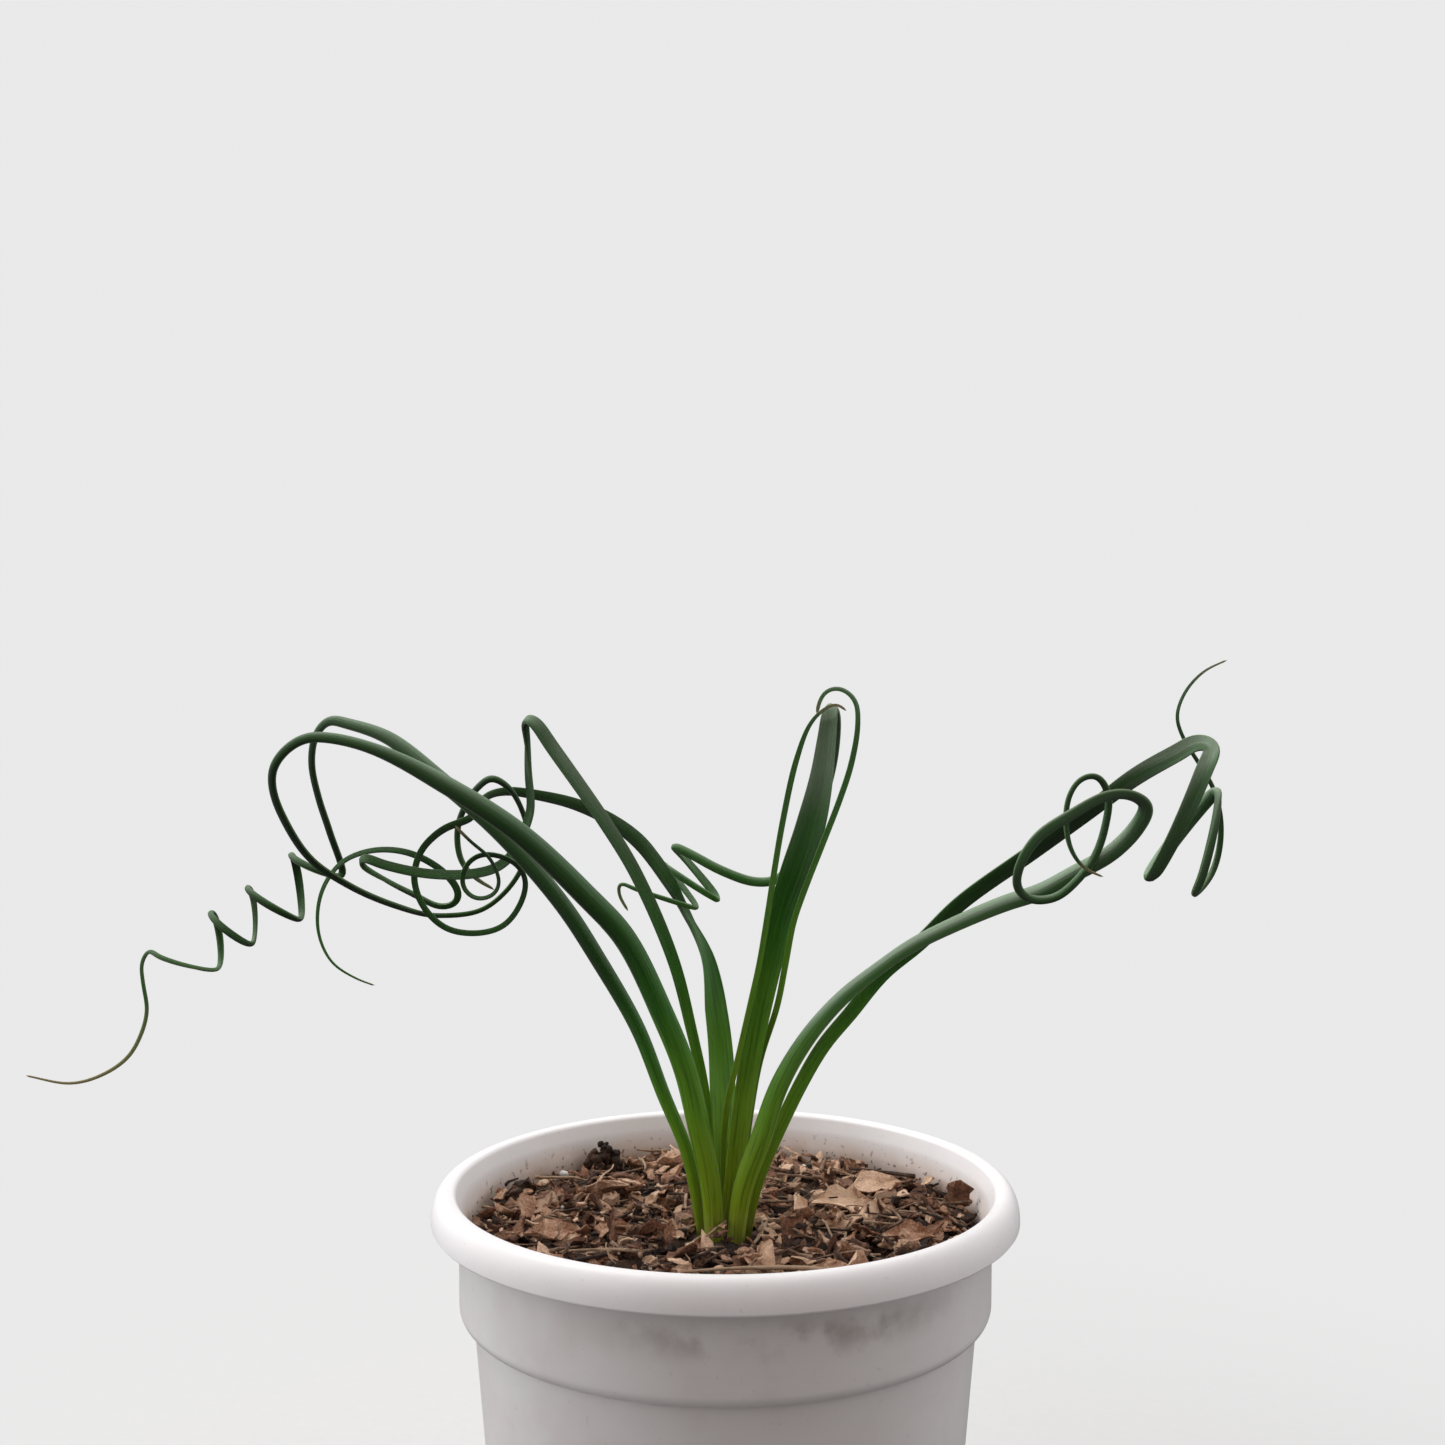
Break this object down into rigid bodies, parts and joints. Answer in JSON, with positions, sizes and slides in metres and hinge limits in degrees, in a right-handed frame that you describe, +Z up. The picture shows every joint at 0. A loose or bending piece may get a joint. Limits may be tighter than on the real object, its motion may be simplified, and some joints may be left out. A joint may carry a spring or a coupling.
{
  "type": "potted albuca",
  "caption": "Bulb plant with narrow channelled leaves that arch and curl into corkscrews, in bark and leaf mulch, in a round white plastic nursery pot with a turned-over lip.",
  "frame": {"origin": "centre of the pot's underside, where it stands", "axes": "+Z up, -Y towards the front, +X to the right, along the leaves' widest spread"},
  "size_m": [0.2687, 0.1306, 0.2286],
  "materials": {
    "white_plastic": "moulded, soft satin gloss",
    "soil": "damp crumbly potting mix",
    "bulb_skin": "dry papery tunic",
    "leaf_green": "waxy, semi-matt, finely ribbed along its length",
    "bark": "rough bark",
    "dry_leaf": "dry torn leaf, matt",
    "twig": "dry twig, matt"
  },
  "bodies": {
    "root": {"bark_01": "bark", "bark_02": "bark", "bark_03": "bark", "bark_04": "bark", "bark_05": "bark", "bark_06": "bark", "bark_07": "bark", "bark_08": "bark", "bark_09": "bark", "bark_10": "bark", "bark_11": "bark", "bark_12": "bark", "bark_13": "bark", "bark_14": "bark", "bulb": "bulb_skin", "leaf_broad_folded": "leaf_green", "leaf_left_arch": "leaf_green", "leaf_left_corkscrew": "leaf_green", "leaf_litter_01": "dry_leaf", "leaf_litter_02": "dry_leaf", "leaf_litter_03": "dry_leaf", "leaf_litter_04": "dry_leaf", "leaf_litter_05": "dry_leaf", "leaf_litter_06": "dry_leaf", "leaf_litter_07": "dry_leaf", "leaf_litter_08": "dry_leaf", "leaf_litter_09": "dry_leaf", "leaf_litter_10": "dry_leaf", "leaf_litter_11": "dry_leaf", "leaf_litter_12": "dry_leaf", "leaf_litter_13": "dry_leaf", "leaf_ribbon_spiral": "leaf_green", "leaf_right_coil": "leaf_green", "leaf_right_loops": "leaf_green", "leaf_sharp_bend": "leaf_green", "leaf_thin_left": "leaf_green", "leaf_thin_right": "leaf_green", "pot": "white_plastic", "soil": "soil", "twig_01": "twig", "twig_02": "twig", "twig_03": "twig", "twig_04": "twig", "twig_05": "twig", "twig_06": "twig"}
  },
  "joints": []
}
